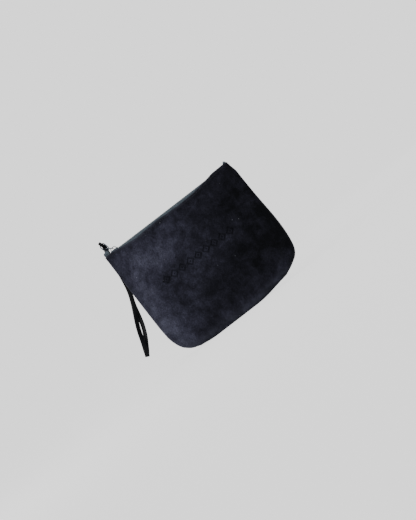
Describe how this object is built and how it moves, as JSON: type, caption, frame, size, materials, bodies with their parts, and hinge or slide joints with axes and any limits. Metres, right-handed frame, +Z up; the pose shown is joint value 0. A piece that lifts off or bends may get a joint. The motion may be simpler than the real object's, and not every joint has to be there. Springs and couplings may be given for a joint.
{
  "type": "zippered pouch",
  "caption": "Small soft leather pouch with a boxed base, closed by a metal zip along the top, with a leather wrist strap ringed to the zip pull.",
  "frame": {"origin": "middle of the base, on the surface that the pouch stands on", "axes": "+X along the zip, away from the slider's closed end; +Y from the front panel to the back; +Z up through the zip"},
  "size_m": [0.2499, 0.0553, 0.196],
  "materials": {
    "suede": "matt brushed suede, near black with a blue cast",
    "cotton_lining": "plain woven cotton",
    "zip_tape": "herringbone woven tape, blue grey",
    "gunmetal": "dark plated zinc, satin",
    "strap_leather": "smooth black leather, low sheen",
    "thread": "matching polyester thread"
  },
  "bodies": {
    "pouch": {"front_panel": "suede", "back_panel": "suede", "front_lining": "cotton_lining", "back_lining": "cotton_lining", "zip_tape_front": "zip_tape", "zip_tape_back": "zip_tape", "zip_teeth_front": "gunmetal", "zip_teeth_back": "gunmetal", "top_stop_front": "gunmetal", "top_stop_back": "gunmetal", "bottom_stop": "gunmetal", "end_tab_left": "zip_tape", "end_tab_right": "zip_tape", "zip_stitch_front": "thread", "zip_stitch_back": "thread", "tab_stitch_left": "thread", "tab_stitch_right": "thread"},
    "slider": {"slider_body": "gunmetal", "slider_bail": "gunmetal"},
    "link": {"pull_link": "gunmetal"},
    "ring": {"strap_ring": "gunmetal"},
    "strap": {"wrist_strap": "strap_leather", "strap_stitch": "thread"}
  },
  "joints": [
    {"name": "zip_slide", "type": "slide", "parent": "pouch", "child": "slider", "axis": [1, 0, 0], "range_m": [0, 0.1785]},
    {"name": "link_hinge", "type": "hinge", "parent": "slider", "child": "link", "pos_m": [-0.0895, 0, 0.178], "axis": [0, 1, 0], "range_deg": [-15, 70]},
    {"name": "ring_hinge", "type": "hinge", "parent": "link", "child": "ring", "pos_m": [-0.09728, 0, 0.18345], "axis": [0, -1, 0], "range_deg": [-15, 10]},
    {"name": "strap_swing", "type": "hinge", "parent": "ring", "child": "strap", "pos_m": [-0.09961, 0, 0.19214], "axis": [0.9659, 0, 0.2588], "range_deg": [0, 75]}
  ]
}
